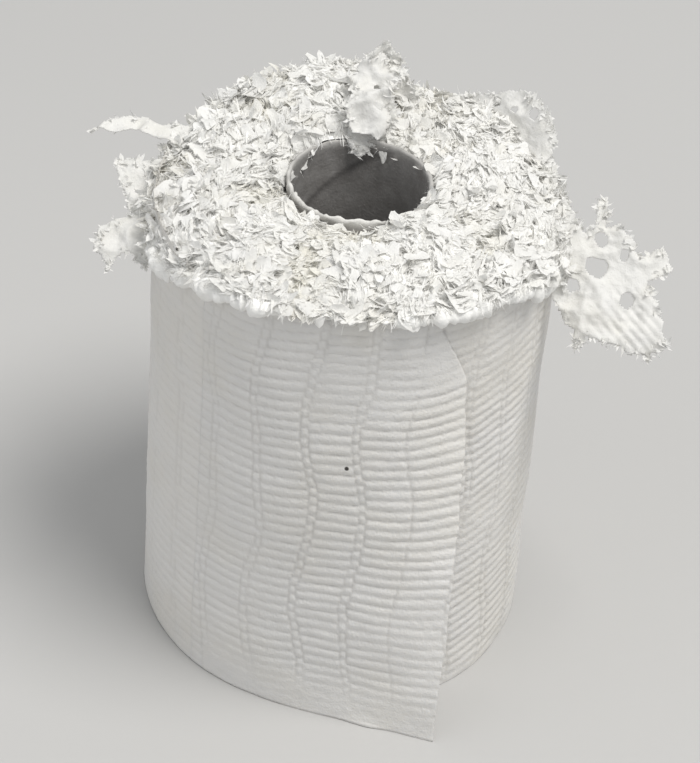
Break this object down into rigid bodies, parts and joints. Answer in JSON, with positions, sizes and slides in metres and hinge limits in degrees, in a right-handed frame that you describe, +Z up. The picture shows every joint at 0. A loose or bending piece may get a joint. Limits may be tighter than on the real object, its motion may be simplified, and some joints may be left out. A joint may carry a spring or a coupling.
{
  "type": "toilet paper roll",
  "caption": "Toilet paper roll on a narrow cardboard core, with a loose embossed outer turn and a top end chewed into a fluffy mat of shreds with torn flaps.",
  "frame": {"origin": "on the axis of the core, in the plane of the roll's foot", "axes": "+Z up along the core's axis towards the chewed end, -Y towards the front, where the loose outer turn ends, +X to the right, towards the large torn flap"},
  "size_m": [0.1275, 0.0994, 0.129],
  "materials": {
    "core_board": "matt grey spiral-wound board",
    "tissue": "matt white two-ply tissue, rib embossed",
    "shredded_tissue": "matt white torn fibres and curls"
  },
  "bodies": {
    "root": {"core_tube": "core_board", "paper_roll": "tissue", "shredded_top": "shredded_tissue"}
  },
  "joints": []
}
